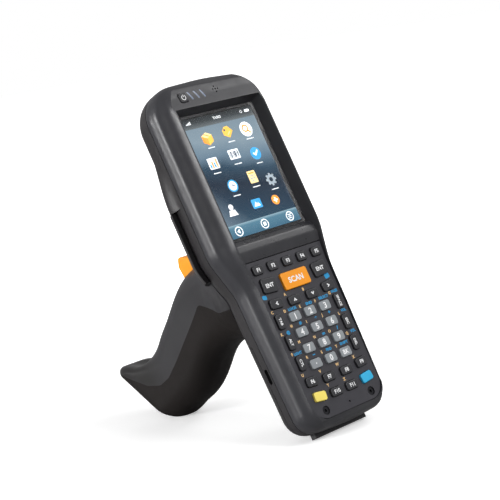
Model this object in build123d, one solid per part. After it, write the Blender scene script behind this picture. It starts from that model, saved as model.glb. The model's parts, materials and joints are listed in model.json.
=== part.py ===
from build123d import *
import os
from math import atan2, degrees, radians, tan

# A portable barcode data terminal: a keyed handheld computer on a pistol handle.
#
# Everything is drawn in the terminal's own axes, in millimetres: x across the display, y up
# the terminal towards its scanning end, z out of the display, with the origin in the middle
# of the screen. The last section stands the whole assembly on the table, on the lower end of
# the terminal and the heel of the handle, with the display towards -Y.

os.makedirs("parts", exist_ok=True)

# ---------------------------------------------------------------------------- sizes
# display: the picture, the clear window over it and the panel behind it
screen_width = 48.6
screen_height = 64.8
window_border_side = 1.9
window_border_end = 1.7
window_thickness = 0.8
window_seat = -0.3
window_ledge = 1.7
lcd_thickness = 3.4
lcd_border = 0.45
lcd_clearance = 0.15
stack_gap = 0.05

# housing, seen from the front
head_half = 37.5
grip_half = 31.0
foot_half = 29.2
top_end = 52.6
bottom_end = -135.6
shoulder_y = -38.6
waist_y = -58.6
top_corner = 17.0
bottom_corner = 11.0
end_crown = 1.5
crown_round = 200.0
waist_round = 22.0
shell_wall = 2.0

# housing, through its thickness
parting_z = -8.6
parting_gap = 0.4
lip_height = 1.4
lip_thickness = 1.0
lip_root = 0.5
lip_clearance = 0.1
head_depth = 29.6
grip_depth = 24.6
rim_z = 6.2
grip_rim_z = 4.3
brow_z = 5.3
brow_y = 37.0
brow_wall = 2.6

# deck between the rims: window, bridge plate and key panel
pocket_head_half = 26.3
pocket_grip_half = 25.4
pocket_top_corner = 2.0
pocket_bottom_corner = 9.5
rim_slope = 3.6
bridge_top_y = -34.8
bridge_bottom_y = -46.2
bridge_crest = 3.9
bridge_floor = 1.0
panel_bottom_y = -130.6
panel_top_z = 3.2
panel_thickness = 1.8
seam = 0.25
aperture_ledge = 0.7
aperture_top = -47.6
aperture_bottom = -123.2

# keys
key_clearance = 0.25
key_travel = 0.8
key_rise = 1.2
key_corner = 1.2
key_edge = 0.4
key_flange = 0.45
key_flange_height = 0.7
flange_clearance = 0.1
mat_thickness = 3.2
mat_half = 25.6
mat_clearance = 0.1
dome_radius = 1.6
dome_height = 0.3

# boards
board_thickness = 1.6
board_half = 25.6
board_top_y = 46.0
board_bottom_y = -121.5

# battery
battery_top_y = -84.0
battery_split_z = -14.0
battery_gap = 0.35
cell_half = 23.0
cell_top_z = -6.4
cell_end_gap = 7.0

# scan engine and its window in the top end
scan_half = 13.0
scan_low_z = -21.5
scan_high_z = -10.8
scan_clearance = 0.15
engine_half = 10.4
engine_length = 16.0
engine_gap = 0.6

# dock strip on the lower end
dock_half = 18.5
dock_low_z = -13.4
dock_high_z = -9.4
dock_length = 7.0
dock_stand_out = 1.5
dock_clearance = 0.15
contact_count = 8
contact_pitch = 3.8
contact_width = 1.6
contact_height = 2.0
contact_length = 2.5
contact_sink = 0.4

# strap slots low on the flanks
strap_slot_y = -100.4
strap_slot_length = 8.2
strap_slot_height = 2.9
strap_slot_z = -11.6
strap_slot_depth = 1.7

# saddle that carries the handle: wings beside the housing, then a tongue inside the handle
saddle_gap = 0.3
saddle_thickness = 3.0
saddle_top_y = -8.0
saddle_wing_y = -46.0
saddle_bottom_y = -69.0
saddle_tongue_half = 19.0
saddle_edge_z = -17.8
saddle_end_gap = 0.4

# hump on the rear shell that rises to meet the saddle (y, how far it stands out)
hump_steps = ((22.0, -0.3), (12.0, 1.0), (3.0, 2.2), (saddle_top_y + saddle_end_gap, 2.8))
hump_top_z = -11.0
hump_full_z = -17.5

# handle
handle_wall = 2.4
handle_fit = 0.05
overmould = 1.8
overmould_gap = 0.12
handle_seam = 0.05
slot_half = 7.6
slot_back_y = -49.0
slot_top_z = -37.6
slot_low_z = -70.2

# trigger, its pin, return spring and switch
trigger_half = 7.0
trigger_pivot = (-36.5, -43.0)
trigger_travel = 9.0
trigger_back = -38.5
pin_radius = 1.5
pin_half = 12.5
pin_clearance = 0.05
pin_seat = 0.02
pin_boss = 3.6
spring_radius = 2.6
spring_wire = 0.6
spring_turns = 5
spring_z = -60.5
spring_gap = 0.1
switch_board_y = -50.0
switch_board_thickness = 1.4
switch_board_half = 8.5
switch_z = -53.0
switch_half = 3.2
switch_depth = 6.5
plunger_radius = 1.0
plunger_length = 3.2
bulkhead_gap = 0.05
bulkhead_thickness = 1.95

# power key, lamps and speaker holes in the brow
power_x = -20.4
power_y = 42.3
power_size = 5.0
power_rise = 0.5
power_travel = 0.5
power_flange = 0.75
power_drop = 1.3
lamp_xs = (-15.2, -11.0, -6.8)
lamp_y = 42.8
lamp_length = 5.0
lamp_width = 1.2
lamp_lean = 20.0
lamp_clearance = 0.05
ear_x = 2.4
ear_y = 43.6
ear_hole = 0.45
ear_pitch = 1.6
speaker_radius = 5.5
speaker_height = 4.0
mic_x = 0.3
mic_y = -126.8
mic_hole = 0.55

# screws, all of one size
screw_radius = 1.25
screw_head_radius = 2.1
screw_head_height = 1.3
screw_length = 6.0
screw_clearance = 0.2
screw_seat = 0.02
screw_boss = 3.2
driver_radius = 0.8
driver_depth = 0.7
case_screw_sink = 5.0
front_screw_x = 16.5
front_screw_y = -126.4
case_screw_x = 13.8
case_screw_y = 38.2
saddle_screw_x = 12.0
saddle_screw_y = -15.5
handle_screws = ((-48.0, -80.5), (-58.0, -96.0), (-68.0, -112.0))
handle_screw_head_x = 4.5

# heel and toe of the handle's base (y, z), and how flat the heel is ground to stand on
heel = (-95.6, -123.0)
butt_toe = (-57.3, -150.2)
heel_flat = 0.9
strip_flat = 0.25

# dish in the top of the toe, for the little finger
dish_place = (-60.2, -133.0)
dish_lean = 14.2
dish_radius = 30.0
dish_depth = 1.8


# ---------------------------------------------------------------------------- helpers
def rounded_loop(points, radii):
    """A closed flat outline of straight runs, with a tangent arc at each corner that has a radius."""
    corners = [Vector(*point) for point in points]
    starts, ends = [], []
    for index, corner in enumerate(corners):
        back = (corners[index - 1] - corner).normalized()
        ahead = (corners[(index + 1) % len(corners)] - corner).normalized()
        reach = radii[index] / tan(radians(back.get_angle(ahead)) / 2)
        starts.append(corner + back * reach)
        ends.append(corner + ahead * reach)
    edges = []
    for index, corner in enumerate(corners):
        if radii[index] > 0:
            edges.append(Edge.make_tangent_arc(starts[index], corner - starts[index], ends[index]))
        edges.append(Edge.make_line(ends[index], starts[(index + 1) % len(corners)]))
    return Face(Wire(edges))


def side_profile(points, x_half, radii=None):
    """A (y, z) outline, extruded across the terminal to both sides."""
    face = Plane.YZ * rounded_loop(points, radii or [0] * len(points))
    return extrude(face, x_half, both=True)


def block(x, y, z):
    """A box from three (low, high) pairs."""
    size = [high - low for low, high in (x, y, z)]
    centre = [(low + high) / 2 for low, high in (x, y, z)]
    return Pos(*centre) * Box(*size)


def plan_outline(z, side_in, waist_in, end_in, grow):
    """The terminal's outline at one height, moved in from its widest outline."""
    head = head_half - side_in + grow
    grip = grip_half - waist_in + grow
    foot = foot_half - waist_in + grow
    top = top_end - end_in + grow
    bottom = bottom_end + end_in - grow
    side = [(head, top - end_crown), (head, shoulder_y), (grip, waist_y), (foot, bottom + end_crown)]
    upper = min(1.0, head / head_half)
    lower = min(1.0, foot / foot_half)
    radii = [top_corner * upper, waist_round, waist_round, bottom_corner * lower]
    points = [(0, top)] + side + [(0, bottom)] + [(-x, y) for x, y in reversed(side)]
    all_radii = [crown_round * upper**2] + radii + [crown_round * lower**2] + radii[::-1]
    return Pos(0, 0, z) * rounded_loop(points, all_radii)


# height, then how far the flank of the head, of the grip and the two ends are inside the
# widest outline: crest of the rim, cove below it, rounded flank, and the rounded back
flank = [
    (6.8, 7.5, 5.1, 3.6),
    (4.6, 7.0, 4.5, 2.7),
    (2.9, 6.1, 3.7, 2.0),
    (1.5, 4.5, 2.8, 1.3),
    (0.1, 2.1, 1.4, 0.7),
    (-2.4, 0.5, 0.4, 0.1),
    (-5.4, 0.0, 0.0, 0.0),
    (-8.8, 0.25, 0.5, 0.0),
    (-13.0, 0.8, 1.2, 0.3),
    (-17.5, 2.2, 2.8, 1.5),
    (-21.5, 5.0, 6.0, 3.6),
    (-25.5, 9.6, 11.4, 7.0),
    (-30.6, 17.0, 18.0, 12.0),
]


def flank_body(grow=0.0):
    """The housing's rounded outer form before its front and back are cut."""
    sections = []
    for z, side_in, waist_in, end_in in flank:
        lean = min(1.0, max(0.0, (parting_z - z) / (head_depth + parting_z)))
        sections.append(plan_outline(z - grow * lean, side_in, waist_in, end_in, grow * (1 - 0.3 * lean)))
    return loft(sections)


def crest_region(drop=0.0):
    """Everything under the brow, the rims and the rolled lower end."""
    points = [
        (top_end + 4, parting_z - 30), (top_end + 4, -5.5), (top_end - 0.4, 0.2), (top_end - 4.4, 3.3),
        (top_end - 9.2, brow_z - 0.5), (brow_y, brow_z), (screen_height / 2, rim_z),
        (-screen_height / 2 - 1.5, rim_z), (bridge_bottom_y - 6, grip_rim_z + 0.2),
        (panel_bottom_y + 8, grip_rim_z), (panel_bottom_y + 0.8, grip_rim_z - 0.7),
        (bottom_end + 1.8, 0.6), (bottom_end - 1, -5.5), (bottom_end - 1, parting_z - 30),
    ]
    points = [(y, z - drop) for y, z in points]
    radii = [0, 3, 3, 6, 14, 1.2, 1.2, 20, 20, 14, 5, 3, 3, 0]
    return side_profile(points, head_half + 10, radii)


def back_line(grow=0.0):
    """The (y, z) line of the back: deep behind the display, shallower behind the keys."""
    return [
        (top_end + 8, -head_depth - grow), (waist_y + 8, -head_depth - grow),
        (waist_y - 14, -grip_depth - grow), (bottom_end - 8, -grip_depth - grow),
    ]


def back_region(grow=0.0):
    """Everything in front of the back face."""
    line = back_line(grow)
    points = [(line[0][0], 20.0)] + line + [(line[-1][0], 20.0)]
    return side_profile(points, head_half + 10)


def hump_form():
    """The back of the head again, but standing out further and further towards the saddle."""
    sections = []
    for y, rise in hump_steps:
        right = []
        for z, side_in, _, _ in flank[7:]:
            fade = min(1.0, max(0.0, (hump_top_z - z) / (hump_top_z - hump_full_z)))
            lean = min(1.0, max(0.0, (parting_z - z) / (head_depth + parting_z)))
            x = head_half - side_in + rise * fade * (1 - 0.3 * lean) - 0.3 * (1 - fade)
            right.append(Vector(x, y, z - rise * lean))
        left = [Vector(-point.X, point.Y, point.Z) for point in reversed(right)]
        edges = [Edge.make_spline(right), Edge.make_line(right[-1], left[0]),
                 Edge.make_spline(left), Edge.make_line(left[-1], right[0])]
        sections.append(Face(Wire(edges)))
    floor = [(y, -head_depth - rise) for y, rise in hump_steps]
    return loft(sections) & side_profile(floor + [(hump_steps[-1][0], 0.0), (hump_steps[0][0], 0.0)], 60)


def layer(outside, inside, low, high):
    """A flat ring that follows the parting line, between two insets from the housing."""
    z, side_in, waist_in, end_in = flank[7]
    ring = plan_outline(low, side_in, waist_in, end_in, -outside)
    if inside is not None:
        ring = ring - plan_outline(low, side_in, waist_in, end_in, -inside)
    return extrude(ring, high - low, dir=(0, 0, 1))


def pocket(half_head, half_grip, top, bottom, low, high, slope):
    """The sunk deck between the rims, opening out towards the front."""
    sections = []
    for z, out in ((low, 0.0), (high, slope)):
        side = [(half_head + out, top), (half_head + out, shoulder_y), (half_grip + out * 0.45, waist_y + 4),
                (half_grip + out * 0.45 - 0.8, bottom)]
        points = side + [(-x, y) for x, y in reversed(side)]
        radii = [pocket_top_corner, waist_round, waist_round, pocket_bottom_corner]
        sections.append(Pos(0, 0, z) * rounded_loop(points, radii + radii[::-1]))
    return loft(sections, ruled=True)


def rounded_plate(x_half, low_y, high_y, corner, low, high):
    """A flat plate with rounded corners, centred on x = 0."""
    outline = Pos(0, (low_y + high_y) / 2) * RectangleRounded(2 * x_half, high_y - low_y, corner)
    return extrude(Pos(0, 0, low) * outline, high - low)


# ---------------------------------------------------------------------------- key layout
number_pitch = 10.72
number_rows = 8.42
first_number_y = -78.35
number_size = (7.5, 4.8)
function_pitch = 10.37
function_y = -51.05
function_size = (6.8, 4.6)
side_x = 21.0
side_step_in = 0.7
side_y = -78.6
side_rows = 11.14
side_size = (4.6, 7.6)

# each key is its name, centre x, centre y, width, height and lean; the right mirrors the left
keys = [("key_scan", 0.0, -60.7, 18.3, 8.8, 0)]
for index in range(5):
    keys.append((f"key_f{index + 1}", (index - 2) * function_pitch, function_y, *function_size, 0))
for side, sign in (("left", -1), ("right", 1)):
    keys.append((f"key_enter_{side}", sign * 17.93, -59.9, 9.8, 7.4, sign * 4))
    keys.append((f"key_arrow_{side}", sign * 18.54, -69.5, 8.4, 4.8, sign * 4))
    for index, name in enumerate(("top", "middle", "bottom")):
        place = (sign * (side_x - side_step_in * index), side_y - side_rows * index)
        keys.append((f"key_{side}_{name}", *place, *side_size, 0))
for name, sign in (("up", -1), ("down", 1)):
    keys.append((f"key_arrow_{name}", sign * 6.36, -70.6, 8.2, 4.4, 0))
for index, name in enumerate(("1", "2", "3", "4", "5", "6", "7", "8", "9", "star", "0", "back")):
    row, column = divmod(index, 3)
    place = ((column - 1) * number_pitch, first_number_y - row * number_rows)
    keys.append((f"key_{name}", *place, *number_size, 0))
for pair, x, y, width, height, lean in (
        (("f6", "f9"), 17.88, -111.1, 7.8, 4.6, 4), (("f7", "f8"), 6.26, -112.0, 8.2, 4.2, 0),
        (("yellow", "blue"), 16.98, -119.1, 7.9, 4.7, 7), (("f10", "f11"), 5.5, -119.9, 8.2, 4.2, 0)):
    for name, sign in zip(pair, (-1, 1)):
        keys.append((f"key_{name}", sign * x, y, width, height, sign * lean))


def key_outline(key, grow=0.0):
    """A key's outline on the panel, grown or shrunk all round."""
    name, x, y, width, height, lean = key
    outline = RectangleRounded(width + 2 * grow, height + 2 * grow, key_corner + grow)
    return Pos(x, y) * Rot(0, 0, lean) * outline


def key_solid(key):
    """A cap that stands out of the panel, on a flange that stops under it."""
    top = panel_top_z + key_rise
    flange_top = panel_top_z - panel_thickness - flange_clearance
    cap = extrude(Pos(0, 0, flange_top) * key_outline(key), top - flange_top)
    cap = fillet(cap.edges().filter_by(lambda edge: edge.center().Z > top - 0.01), key_edge)
    flange_low = flange_top - key_flange_height
    return cap + extrude(Pos(0, 0, flange_low) * key_outline(key, key_flange), key_flange_height)


nodes = {}


# ---------------------------------------------------------------------------- common forms
outer = flank_body() & back_region()
inner = flank_body(-shell_wall) & back_region(-shell_wall)

window_half = screen_width / 2 + window_border_side
window_end = screen_height / 2 + window_border_end
window_face = window_seat + window_thickness
panel_floor = panel_top_z - panel_thickness
lcd_half = screen_width / 2 + lcd_border
lcd_end = screen_height / 2 + lcd_border
lcd_top = window_seat - stack_gap
board_top = lcd_top - lcd_thickness - stack_gap
mat_top = board_top + mat_thickness
deck_underside = mat_top + mat_clearance
pin_axis = Pos(0, *trigger_pivot) * Rot(0, 90, 0)


def deck_form(gap):
    """The whole well between the rims, from the brow to the rolled lower end."""
    return pocket(pocket_head_half - gap, pocket_grip_half - gap, brow_y + 4, panel_bottom_y + gap,
                  window_seat, rim_z + 1.5, rim_slope)


def screw_at(place):
    """A pan-head screw whose head seats at the place, with its shank towards -Z."""
    head = Pos(0, 0, screw_head_height / 2) * Cylinder(screw_head_radius, screw_head_height)
    shank = Pos(0, 0, -screw_length / 2) * Cylinder(screw_radius, screw_length)
    socket = Pos(0, 0, screw_head_height - driver_depth / 2) * Cylinder(driver_radius, driver_depth)
    return place * (head + shank - socket)


def screw_hole(place, sink):
    """The hole for a screw: a close bore for the shank and a sink for the head."""
    bore = Pos(0, 0, -screw_length / 2 - 0.5) * Cylinder(screw_radius + screw_seat, screw_length + 1)
    well = Pos(0, 0, sink / 2) * Cylinder(screw_head_radius + screw_clearance, sink)
    return place * (bore + well)


case_screw_z = case_screw_sink - head_depth
saddle_screw_z = -head_depth - saddle_gap - saddle_thickness / 3
upended = Rot(180, 0, 0)
front_screws = [Pos(sign * front_screw_x, front_screw_y, panel_floor) for sign in (-1, 1)]
case_screws = [Pos(sign * case_screw_x, case_screw_y, case_screw_z) * upended for sign in (-1, 1)]
saddle_screws = [Pos(sign * saddle_screw_x, saddle_screw_y, saddle_screw_z) * upended for sign in (-1, 1)]
side_screws = [Pos(handle_screw_head_x, y, z) * Rot(0, 90, 0) for y, z in handle_screws]


# ---------------------------------------------------------------------------- front shell
deck_space = side_profile(
    [(brow_y - 0.4, rim_z + 6), (brow_y - 0.4, brow_z - 0.3), (window_end + seam, window_face),
     (window_end + seam, window_seat), (bridge_top_y + seam, window_seat),
     (bridge_top_y + seam, bridge_floor), (bridge_bottom_y - seam, bridge_floor),
     (bridge_bottom_y - seam, panel_floor),
     (panel_bottom_y - 6, panel_floor), (panel_bottom_y - 6, rim_z + 6)],
    head_half)
roof = side_profile(
    [(top_end + 9, -60), (top_end + 9, -3.0), (top_end - 3.5, 0.0), (top_end - 8, brow_z - brow_wall - 0.5),
     (brow_y + 0.5, brow_z - brow_wall), (window_end + 1.5, window_seat - window_ledge),
     (bridge_top_y - 1, window_seat - window_ledge), (bridge_top_y - 2.5, deck_underside),
     (panel_bottom_y - 1.0, deck_underside), (bottom_end + 3.6, -3.0), (bottom_end + 3.6, -60)],
    head_half)
aperture_half = pocket_grip_half - aperture_ledge
aperture = [(aperture_half, aperture_top), (aperture_half, waist_y - 20),
            (aperture_half - 1.1, aperture_bottom)]
aperture += [(-x, y) for x, y in reversed(aperture)]

front_shell = (outer & crest_region()) - block((-60, 60), (-200, 100), (-60, parting_z))
front_shell -= deck_form(0) & deck_space
front_shell -= inner & roof
front_shell -= layer(shell_wall - lip_thickness - lip_clearance, None, parting_z - 1, parting_z + lip_height)
front_shell -= rounded_plate(lcd_half + lcd_clearance, -lcd_end - lcd_clearance, lcd_end + lcd_clearance,
                             1.0, -9, window_seat + 5)
front_shell -= extrude(rounded_loop(aperture, [2, 30, 4, 4, 30, 2]), 9, both=True)
for sign in (-1, 1):
    boss = Pos(sign * front_screw_x, front_screw_y, (panel_floor - screw_length) / 2 - 0.6)
    front_shell += boss * Cylinder(screw_boss, panel_floor + screw_length - 0.4)
    pillar = Pos(sign * case_screw_x, case_screw_y, (case_screw_z + 1.0) / 2)
    front_shell += pillar * Cylinder(screw_boss, 1.0 - case_screw_z)
for place in front_screws + case_screws:
    front_shell -= screw_hole(place, 3.0)

power_hole = Pos(power_x, power_y) * RectangleRounded(power_size + 2 * key_clearance,
                                                       power_size + 2 * key_clearance, 1.2)
front_shell -= extrude(power_hole, 12)
lamp_places = [Pos(x, lamp_y) * Rot(0, 0, lamp_lean + 90) for x in lamp_xs]
for place in lamp_places:
    front_shell -= extrude(place * SlotOverall(lamp_length, lamp_width), 12)
for dx, dy in ((0, 0), (1, 0), (-1, 0), (0, 1), (0, -1)):
    front_shell -= Pos(ear_x + dx * ear_pitch, ear_y + dy * ear_pitch, 4) * Cylinder(ear_hole, 12)
nodes["front_shell"] = front_shell

# ---------------------------------------------------------------------------- display
nodes["display_window"] = rounded_plate(window_half, -window_end, window_end, 1.5, window_seat, window_face)
nodes["lcd_panel"] = rounded_plate(lcd_half, -lcd_end, lcd_end, 0.6, lcd_top - lcd_thickness, lcd_top)
bridge = side_profile(
    [(bridge_top_y, bridge_floor), (bridge_top_y, bridge_floor + 0.7),
     (bridge_top_y - 2.4, bridge_crest - 0.7), (bridge_top_y - 6, bridge_crest),
     (bridge_bottom_y, bridge_crest - 0.4), (bridge_bottom_y, bridge_floor)],
    head_half, [0, 0.4, 2.5, 6, 0.5, 0])
nodes["bridge_plate"] = bridge & deck_form(seam)

# ---------------------------------------------------------------------------- keypad
panel = deck_form(seam) & block((-head_half, head_half), (bottom_end, bridge_bottom_y - seam),
                                (panel_floor, panel_top_z))
for key in keys:
    panel -= extrude(Pos(0, 0, panel_floor - 1) * key_outline(key, key_clearance), panel_thickness + 2)
for place in front_screws:
    panel -= place * Pos(0, 0, 2) * Cylinder(screw_head_radius + screw_clearance, 6)
panel -= Pos(mic_x, mic_y, panel_top_z) * Cylinder(mic_hole, 6)
nodes["keypad_panel"] = panel

mat = rounded_plate(mat_half, aperture_bottom + 0.3, aperture_top + 0.8, 3.0, board_top, mat_top)
for key in keys:
    mat += Pos(key[1], key[2], mat_top + dome_height / 2) * Cylinder(dome_radius, dome_height)
nodes["keypad_mat"] = mat
for key in keys:
    nodes[key[0]] = key_solid(key)

# ---------------------------------------------------------------------------- power key and lamps
power_top = brow_z + power_rise - 0.3
power_flange_top = brow_z - brow_wall - power_drop
power_cap = extrude(Pos(power_x, power_y, power_flange_top) * RectangleRounded(power_size, power_size, 1.0),
                    power_top - power_flange_top)
power_cap = fillet(power_cap.edges().filter_by(lambda edge: edge.center().Z > power_top - 0.01), key_edge)
skirt_size = power_size + 2 * power_flange
power_skirt = extrude(Pos(power_x, power_y, power_flange_top - key_flange_height)
                      * RectangleRounded(skirt_size, skirt_size, 1.2), key_flange_height)
power_stem_low = board_top + power_travel + 0.4
power_stem = block((power_x - 1, power_x + 1), (power_y - 1, power_y + 1), (power_stem_low, power_flange_top))
nodes["power_button"] = power_cap + power_skirt + power_stem

pipes = [extrude(place * SlotOverall(lamp_length - 2 * lamp_clearance, lamp_width - 2 * lamp_clearance), 12)
         for place in lamp_places]
pipes = [pipe & crest_region(0.05) for pipe in pipes]
nodes["lamp_pipes"] = Compound(children=[solid for pipe in pipes for solid in pipe.solids()])

# ---------------------------------------------------------------------------- circuit boards
board = rounded_plate(board_half, board_bottom_y, board_top_y, 4.0, board_top - board_thickness, board_top)
for sign in (-1, 1):
    board -= Pos(sign * case_screw_x, case_screw_y, board_top) * Cylinder(screw_boss + 0.3, 8)
board_low = board_top - board_thickness
for x, y, height in (((-12, 4), (4, 20), 1.2), ((8, 20), (2, 16), 1.4), ((-20, -2), (-30, -14), 1.2),
                     ((6, 19), (-34, -22), 0.9)):
    board += block(x, y, (board_low - height, board_low))
board += Pos(ear_x, ear_y - 1.5, board_top + speaker_height / 2) * Cylinder(speaker_radius, speaker_height)
switch_board = block((-switch_board_half, switch_board_half),
                     (switch_board_y - switch_board_thickness, switch_board_y), (-68.0, -47.0))
switch_board += block((-switch_half, switch_half), (switch_board_y, switch_board_y + switch_depth),
                      (switch_z - 3.0, switch_z + 3.0))
plunger = Cylinder(plunger_radius, plunger_length)
switch_board += Pos(0, switch_board_y + switch_depth + plunger_length / 2, switch_z) * Rot(90, 0, 0) * plunger
nodes["circuit_boards"] = Compound(children=[board, switch_board])

# ---------------------------------------------------------------------------- rear shell and battery
lip_top_z = parting_z + lip_height - lip_clearance
rear_shell = outer + hump_form() - block((-60, 60), (-200, 100), (parting_z - parting_gap, 60)) - inner
rear_shell += layer(shell_wall - lip_thickness, shell_wall + lip_root, parting_z - 2.5, lip_top_z)
battery_space = block((-60, 60), (bottom_end - 5, battery_top_y), (-60, battery_split_z))
rear_shell -= battery_space

scan_opening = block((-scan_half, scan_half), (top_end - 12, top_end + 5), (scan_low_z, scan_high_z))
rear_shell -= scan_opening
dock_opening = block((-dock_half - dock_clearance, dock_half + dock_clearance),
                     (bottom_end - 5, bottom_end + 5),
                     (dock_low_z - dock_clearance, dock_high_z + dock_clearance))
rear_shell -= dock_opening
strap_slot = Rot(0, 90, 0) * Rot(0, 0, 90) * SlotOverall(strap_slot_length, strap_slot_height)
for sign in (-1, 1):
    place = Pos(sign * grip_half, strap_slot_y, strap_slot_z)
    rear_shell -= extrude(place * strap_slot, strap_slot_depth + 1.2, both=True)
    well = Pos(sign * case_screw_x, case_screw_y, case_screw_z - 1.5)
    rear_shell += (well * Cylinder(screw_boss + 0.6, 3.0)) & outer
for place in case_screws:
    rear_shell -= screw_hole(place, 12.0)
for place in saddle_screws:
    rear_shell += (place * Pos(0, 0, -3.2) * Cylinder(screw_boss, 6.4)) & outer
    rear_shell -= screw_hole(place, 3.0)
nodes["rear_shell"] = rear_shell

cover = outer & block((-60, 60), (bottom_end - 5, battery_top_y - battery_gap),
                      (-60, battery_split_z - battery_gap))
cell = block((-cell_half, cell_half), (bottom_end + cell_end_gap, battery_top_y - 1.5),
             (battery_split_z - battery_gap, cell_top_z))
nodes["battery_pack"] = cover + cell

# ---------------------------------------------------------------------------- scan engine and dock strip
scan_pane = block((-scan_half + scan_clearance, scan_half - scan_clearance), (top_end - 12, top_end + 5),
                  (scan_low_z + scan_clearance, scan_high_z - scan_clearance))
scan_window = scan_pane & (flank_body(-0.3) - flank_body(-shell_wall))
nodes["scan_window"] = scan_window
engine_front = top_end - shell_wall - 4.0 - engine_gap
engine = block((-engine_half, engine_half), (engine_front - engine_length, engine_front),
               (scan_low_z + 0.5, scan_high_z - 0.5))
lens = Pos(-4.5, engine_front + 0.6, (scan_low_z + scan_high_z) / 2) * Rot(90, 0, 0) * Cylinder(3.4, 1.2)
aimer = Pos(5.5, engine_front + 0.4, (scan_low_z + scan_high_z) / 2) * Rot(90, 0, 0) * Cylinder(2.0, 0.8)
nodes["scan_engine"] = engine + lens + aimer

dock_outer_y = bottom_end - dock_stand_out
dock = block((-dock_half, dock_half), (dock_outer_y, dock_outer_y + dock_length), (dock_low_z, dock_high_z))
dock = fillet(dock.edges().filter_by(Axis.Y), 0.8)
dock_mid_z = (dock_low_z + dock_high_z) / 2
contacts = []
for index in range(contact_count):
    middle = (index - (contact_count - 1) / 2) * contact_pitch
    x = (middle - contact_width / 2, middle + contact_width / 2)
    z = (dock_mid_z - contact_height / 2, dock_mid_z + contact_height / 2)
    dock -= block(x, (dock_outer_y - 1, dock_outer_y + contact_length), z)
    contacts.append(block(x, (dock_outer_y + contact_sink, dock_outer_y + contact_length), z))
nodes["dock_connector"] = dock

# ---------------------------------------------------------------------------- saddle
saddle_outside = saddle_gap + saddle_thickness


def saddle_reach(clearance):
    """Where the saddle lies along the housing: the full width at its wings, then its tongue."""
    half = saddle_tongue_half + clearance
    return block((-60, 60), (saddle_wing_y - clearance, saddle_top_y + clearance), (-60, 60)) \
        + block((-half, half), (saddle_bottom_y - clearance, saddle_wing_y), (-60, 60))


housing_clear = flank_body(saddle_gap) & back_region(saddle_gap)
saddle = (flank_body(saddle_outside) & back_region(saddle_outside)) - housing_clear
saddle &= saddle_reach(0) & block((-60, 60), (-100, 0), (-60, saddle_edge_z))
for place in saddle_screws:
    saddle -= screw_hole(place, 12.0)
nodes["saddle_plate"] = saddle

# ---------------------------------------------------------------------------- handle
# each section's front point and rear point (y, z), its half width, and how round its front
# and rear corners are as a share of that, from the saddle to the base
handle_sections = [
    ((-23.6, -17.4), (-79.8, -17.4), 29.0, 0.87, 0.87),
    ((-26.0, -33.0), (-78.0, -31.0), 24.0, 0.9, 0.9),
    ((-29.0, -46.0), (-75.5, -44.0), 18.0, 0.9, 0.9),
    ((-29.8, -60.0), (-76.0, -60.0), 15.2, 0.9, 0.9),
    ((-38.2, -81.0), (-86.0, -80.0), 14.6, 0.9, 0.9),
    ((-50.4, -101.2), (-94.3, -100.5), 14.2, 0.85, 0.9),
    ((-59.2, -116.2), (-96.2, -109.5), 13.8, 0.65, 0.9),
    ((-61.8, -127.0), (-97.0, -113.5), 13.6, 0.4, 0.9),
    ((-60.0, -136.5), (-97.2, -116.6), 13.6, 0.35, 0.9),
    ((-57.0, -144.8), (-96.9, -119.4), 13.2, 0.45, 0.9),
    (butt_toe, heel, 11.4, 0.6, 0.9),
]


def handle_form(inset, first=0, last=len(handle_sections)):
    """The handle's outer form, or the same form inside it by an even inset."""
    sections = []
    for index in range(first, last):
        front, rear, half, front_round, rear_round = handle_sections[index]
        ahead = Vector(0, front[0] - rear[0], front[1] - rear[1])
        reach = ahead.length / 2 - inset
        middle = Vector(0, (front[0] + rear[0]) / 2, (front[1] + rear[1]) / 2)
        normal = Vector(1, 0, 0).cross(ahead.normalized())
        lift = inset if index == len(handle_sections) - 1 else 0.0
        plane = Plane(origin=middle + normal * lift, x_dir=(1, 0, 0), z_dir=normal)
        half -= inset
        points = [(-half, -reach), (half, -reach), (half, reach), (-half, reach)]
        radii = [half * rear_round, half * rear_round, half * front_round, half * front_round]
        sections.append(plane * rounded_loop(points, radii))
    return loft(sections)


saddle_clear = flank_body(saddle_outside + handle_fit) & back_region(saddle_outside + handle_fit)
saddle_clear = (saddle_clear & saddle_reach(handle_fit)) + housing_clear
dish_centre = Pos(0, *dish_place) * Rot(dish_lean, 0, 0) * Pos(0, dish_radius - dish_depth, 0)
handle_outer = handle_form(0) - dish_centre * Sphere(dish_radius)
handle_outer -= saddle_clear
overmould_region = side_profile(
    [(-62.3, -14.0), (-60.0, -34.5), (-49.6, -54.6), (-69.6, -91.5), (-75.5, -104.0), (-77.0, -114.0),
     (-74.0, -124.5), (-62.0, -143.5), (-50.0, -154.0), (-80.0, -168.0), (-130.0, -140.0), (-130.0, -14.0)],
    40, [0, 20, 5, 30, 10, 8, 8, 10, 0, 0, 0, 0])
overmould_core = handle_form(overmould)
overmould_seat = handle_form(overmould + overmould_gap)
handle_hollow = handle_form(overmould + handle_wall, 1, 8)

# ---------------------------------------------------------------------------- trigger
trigger_outline = [
    (-27.6, -38.6), (-25.8, -46.0), (-24.6, -53.5), (-22.8, -60.0), (-20.8, -65.6), (-25.8, -68.0),
    (-33.0, -67.0), (trigger_back, -65.0), (trigger_back, -50.0), (-39.8, -43.0), (-37.0, -38.6),
]
trigger = side_profile(trigger_outline, trigger_half, [2.4, 20, 14, 14, 1.6, 3, 6, 1.5, 6, 2.5, 2.5])
trigger = fillet(trigger.faces().filter_by(Axis.X).edges(), 1.0)
trigger -= pin_axis * Cylinder(pin_radius + pin_clearance, 40)
nodes["trigger"] = trigger
nodes["trigger_pin"] = pin_axis * Cylinder(pin_radius, 2 * pin_half)

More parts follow.
